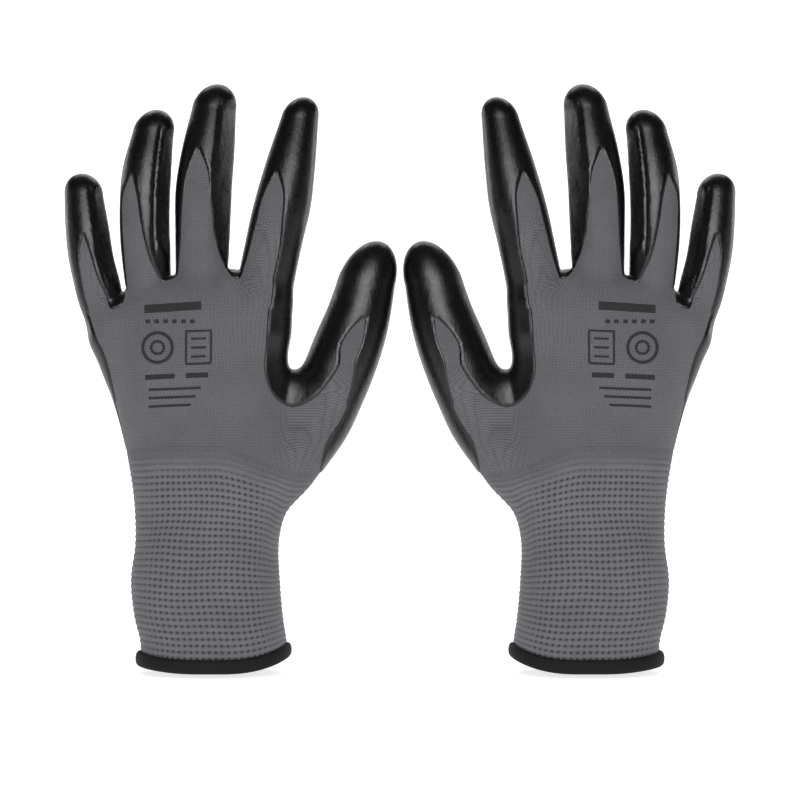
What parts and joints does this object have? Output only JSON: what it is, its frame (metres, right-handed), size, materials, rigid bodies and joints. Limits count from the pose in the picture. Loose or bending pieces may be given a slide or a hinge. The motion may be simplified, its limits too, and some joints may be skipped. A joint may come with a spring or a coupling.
{
  "type": "work gloves",
  "caption": "Pair of knitted work gloves with ribbed cuffs, a dark dipped coating over palms, thumbs and fingertips, and bending fingers.",
  "frame": {"origin": "on the plane the hems stand on, midway between the two gloves, at the middle of their depth", "axes": "+Z from the hems to the fingertips, +Y out of the palms, +X from the left glove to the right glove"},
  "size_m": [0.2722, 0.0458, 0.2405],
  "materials": {
    "liner_knit": "matte",
    "rib_knit": "matte",
    "elastic_yarn": "matte",
    "overlock_thread": "matte",
    "nitrile_coating": "satin",
    "print_ink": "matte"
  },
  "bodies": {
    "left_cuff": {"left_ribbed_cuff": "rib_knit", "left_hem_overlock": "overlock_thread", "left_cuff_elastic": "elastic_yarn"},
    "left_hand": {"left_hand_liner": "liner_knit", "left_palm_coating": "nitrile_coating", "left_back_print": "print_ink"},
    "left_little_proximal": {"left_little_proximal_liner": "liner_knit", "left_little_proximal_coating": "nitrile_coating"},
    "left_little_distal": {"left_little_distal_liner": "liner_knit", "left_little_distal_coating": "nitrile_coating"},
    "left_ring_proximal": {"left_ring_proximal_liner": "liner_knit", "left_ring_proximal_coating": "nitrile_coating"},
    "left_ring_distal": {"left_ring_distal_liner": "liner_knit", "left_ring_distal_coating": "nitrile_coating"},
    "left_middle_proximal": {"left_middle_proximal_liner": "liner_knit", "left_middle_proximal_coating": "nitrile_coating"},
    "left_middle_distal": {"left_middle_distal_liner": "liner_knit", "left_middle_distal_coating": "nitrile_coating"},
    "left_index_proximal": {"left_index_proximal_liner": "liner_knit", "left_index_proximal_coating": "nitrile_coating"},
    "left_index_distal": {"left_index_distal_liner": "liner_knit", "left_index_distal_coating": "nitrile_coating"},
    "left_thumb_proximal": {"left_thumb_proximal_liner": "liner_knit", "left_thumb_proximal_coating": "nitrile_coating"},
    "left_thumb_distal": {"left_thumb_distal_liner": "liner_knit", "left_thumb_distal_coating": "nitrile_coating"},
    "right_cuff": {"right_ribbed_cuff": "rib_knit", "right_hem_overlock": "overlock_thread", "right_cuff_elastic": "elastic_yarn"},
    "right_hand": {"right_hand_liner": "liner_knit", "right_palm_coating": "nitrile_coating", "right_back_print": "print_ink"},
    "right_little_proximal": {"right_little_proximal_liner": "liner_knit", "right_little_proximal_coating": "nitrile_coating"},
    "right_little_distal": {"right_little_distal_liner": "liner_knit", "right_little_distal_coating": "nitrile_coating"},
    "right_ring_proximal": {"right_ring_proximal_liner": "liner_knit", "right_ring_proximal_coating": "nitrile_coating"},
    "right_ring_distal": {"right_ring_distal_liner": "liner_knit", "right_ring_distal_coating": "nitrile_coating"},
    "right_middle_proximal": {"right_middle_proximal_liner": "liner_knit", "right_middle_proximal_coating": "nitrile_coating"},
    "right_middle_distal": {"right_middle_distal_liner": "liner_knit", "right_middle_distal_coating": "nitrile_coating"},
    "right_index_proximal": {"right_index_proximal_liner": "liner_knit", "right_index_proximal_coating": "nitrile_coating"},
    "right_index_distal": {"right_index_distal_liner": "liner_knit", "right_index_distal_coating": "nitrile_coating"},
    "right_thumb_proximal": {"right_thumb_proximal_liner": "liner_knit", "right_thumb_proximal_coating": "nitrile_coating"},
    "right_thumb_distal": {"right_thumb_distal_liner": "liner_knit", "right_thumb_distal_coating": "nitrile_coating"}
  },
  "joints": [
    {"name": "pair_gap", "type": "slide", "parent": "left_cuff", "child": "right_cuff", "axis": [1, 0, 0], "range_m": [0, 0.025]},
    {"name": "left_wrist", "type": "hinge", "parent": "left_cuff", "child": "left_hand", "pos_m": [-0.0785, 0, 0.06], "axis": [-1, 0, 0], "range_deg": [-30, 30], "stiffness_Nm_per_rad": 0.4},
    {"name": "left_little_knuckle", "type": "hinge", "parent": "left_hand", "child": "left_little_proximal", "pos_m": [-0.1254, 0, 0.168], "axis": [-1, 0, 0], "range_deg": [-10, 70], "stiffness_Nm_per_rad": 0.02},
    {"name": "left_little_middle", "type": "hinge", "parent": "left_little_proximal", "child": "left_little_distal", "pos_m": [-0.1274, 0.00117, 0.18454], "axis": [-1, 0, 0], "range_deg": [0, 80], "stiffness_Nm_per_rad": 0.02},
    {"name": "left_ring_knuckle", "type": "hinge", "parent": "left_hand", "child": "left_ring_proximal", "pos_m": [-0.1032, 0, 0.1755], "axis": [-1, 0, 0], "range_deg": [-10, 70], "stiffness_Nm_per_rad": 0.02},
    {"name": "left_ring_middle", "type": "hinge", "parent": "left_ring_proximal", "child": "left_ring_distal", "pos_m": [-0.10332, 0.00158, 0.19804], "axis": [-1, 0, 0], "range_deg": [0, 80], "stiffness_Nm_per_rad": 0.02},
    {"name": "left_middle_knuckle", "type": "hinge", "parent": "left_hand", "child": "left_middle_proximal", "pos_m": [-0.0804, 0, 0.177], "axis": [-1, 0, 0], "range_deg": [-10, 70], "stiffness_Nm_per_rad": 0.02},
    {"name": "left_middle_middle", "type": "hinge", "parent": "left_middle_proximal", "child": "left_middle_distal", "pos_m": [-0.07939, 0.00175, 0.20202], "axis": [-1, 0, 0], "range_deg": [0, 80], "stiffness_Nm_per_rad": 0.02},
    {"name": "left_index_knuckle", "type": "hinge", "parent": "left_hand", "child": "left_index_proximal", "pos_m": [-0.0511, 0, 0.177], "axis": [-1, 0, 0], "range_deg": [-10, 70], "stiffness_Nm_per_rad": 0.02},
    {"name": "left_index_middle", "type": "hinge", "parent": "left_index_proximal", "child": "left_index_distal", "pos_m": [-0.04661, 0.00153, 0.19848], "axis": [-1, 0, 0], "range_deg": [0, 80], "stiffness_Nm_per_rad": 0.02},
    {"name": "left_thumb_knuckle", "type": "hinge", "parent": "left_hand", "child": "left_thumb_proximal", "pos_m": [-0.0228, 0.005, 0.1255], "axis": [-0.9659, 0, 0.2588], "range_deg": [-10, 35], "stiffness_Nm_per_rad": 0.02},
    {"name": "left_thumb_middle", "type": "hinge", "parent": "left_thumb_proximal", "child": "left_thumb_distal", "pos_m": [-0.0163, 0.00751, 0.14847], "axis": [-0.9659, 0, 0.2588], "range_deg": [0, 60], "stiffness_Nm_per_rad": 0.02},
    {"name": "right_wrist", "type": "hinge", "parent": "right_cuff", "child": "right_hand", "pos_m": [0.0785, 0, 0.06], "axis": [-1, 0, 0], "range_deg": [-30, 30], "stiffness_Nm_per_rad": 0.4},
    {"name": "right_little_knuckle", "type": "hinge", "parent": "right_hand", "child": "right_little_proximal", "pos_m": [0.1254, 0, 0.168], "axis": [-1, 0, 0], "range_deg": [-10, 70], "stiffness_Nm_per_rad": 0.02},
    {"name": "right_little_middle", "type": "hinge", "parent": "right_little_proximal", "child": "right_little_distal", "pos_m": [0.1274, 0.00117, 0.18454], "axis": [-1, 0, 0], "range_deg": [0, 80], "stiffness_Nm_per_rad": 0.02},
    {"name": "right_ring_knuckle", "type": "hinge", "parent": "right_hand", "child": "right_ring_proximal", "pos_m": [0.1032, 0, 0.1755], "axis": [-1, 0, 0], "range_deg": [-10, 70], "stiffness_Nm_per_rad": 0.02},
    {"name": "right_ring_middle", "type": "hinge", "parent": "right_ring_proximal", "child": "right_ring_distal", "pos_m": [0.10332, 0.00158, 0.19804], "axis": [-1, 0, 0], "range_deg": [0, 80], "stiffness_Nm_per_rad": 0.02},
    {"name": "right_middle_knuckle", "type": "hinge", "parent": "right_hand", "child": "right_middle_proximal", "pos_m": [0.0804, 0, 0.177], "axis": [-1, 0, 0], "range_deg": [-10, 70], "stiffness_Nm_per_rad": 0.02},
    {"name": "right_middle_middle", "type": "hinge", "parent": "right_middle_proximal", "child": "right_middle_distal", "pos_m": [0.07939, 0.00175, 0.20202], "axis": [-1, 0, 0], "range_deg": [0, 80], "stiffness_Nm_per_rad": 0.02},
    {"name": "right_index_knuckle", "type": "hinge", "parent": "right_hand", "child": "right_index_proximal", "pos_m": [0.0511, 0, 0.177], "axis": [-1, 0, 0], "range_deg": [-10, 70], "stiffness_Nm_per_rad": 0.02},
    {"name": "right_index_middle", "type": "hinge", "parent": "right_index_proximal", "child": "right_index_distal", "pos_m": [0.04661, 0.00153, 0.19848], "axis": [-1, 0, 0], "range_deg": [0, 80], "stiffness_Nm_per_rad": 0.02},
    {"name": "right_thumb_knuckle", "type": "hinge", "parent": "right_hand", "child": "right_thumb_proximal", "pos_m": [0.0228, 0.005, 0.1255], "axis": [-0.9659, 0, -0.2588], "range_deg": [-10, 35], "stiffness_Nm_per_rad": 0.02},
    {"name": "right_thumb_middle", "type": "hinge", "parent": "right_thumb_proximal", "child": "right_thumb_distal", "pos_m": [0.0163, 0.00751, 0.14847], "axis": [-0.9659, 0, -0.2588], "range_deg": [0, 60], "stiffness_Nm_per_rad": 0.02}
  ]
}
